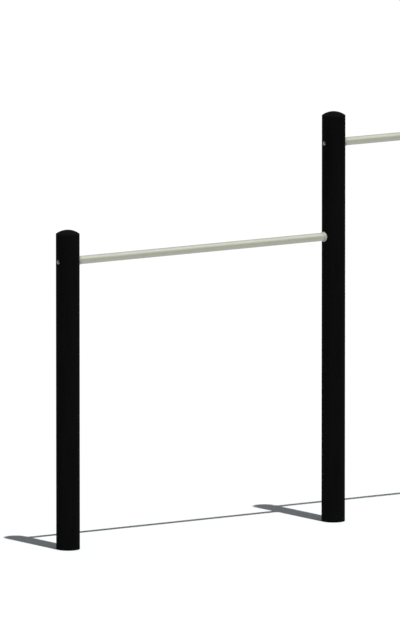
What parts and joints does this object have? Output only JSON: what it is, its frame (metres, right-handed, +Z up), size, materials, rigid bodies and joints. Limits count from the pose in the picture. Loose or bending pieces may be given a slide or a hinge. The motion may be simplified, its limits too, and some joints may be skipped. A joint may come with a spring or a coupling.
{
  "type": "horizontal bar",
  "caption": "Outdoor horizontal bar set: round domed posts in a row carry steel bars at stepped heights, each bar end held in a saddle collar by a bolt through its post.",
  "frame": {"origin": "centre of the middle post's foot, on the ground", "axes": "+X along the bars from the low post to the high post, +Z up, +Y across the bars"},
  "size_m": [3.3234, 0.12, 2.11],
  "materials": {
    "post_black": "matte",
    "bar_steel": "satin",
    "collar_metal": "satin",
    "plug_steel": "satin",
    "bolt_steel": "satin",
    "washer_steel": "satin"
  },
  "bodies": {
    "root": {"low_post": "post_black", "middle_post": "post_black", "high_post": "post_black", "low_bar_tube": "bar_steel", "high_bar_tube": "bar_steel", "low_bar_left_collar": "collar_metal", "low_bar_right_collar": "collar_metal", "high_bar_left_collar": "collar_metal", "high_bar_right_collar": "collar_metal", "low_bar_left_plug": "plug_steel", "low_bar_right_plug": "plug_steel", "high_bar_left_plug": "plug_steel", "high_bar_right_plug": "plug_steel", "low_bar_left_bolt": "bolt_steel", "low_bar_right_bolt": "bolt_steel", "high_bar_left_bolt": "bolt_steel", "high_bar_right_bolt": "bolt_steel", "low_bar_left_washer": "washer_steel", "low_bar_right_washer": "washer_steel", "high_bar_left_washer": "washer_steel", "high_bar_right_washer": "washer_steel"}
  },
  "joints": []
}
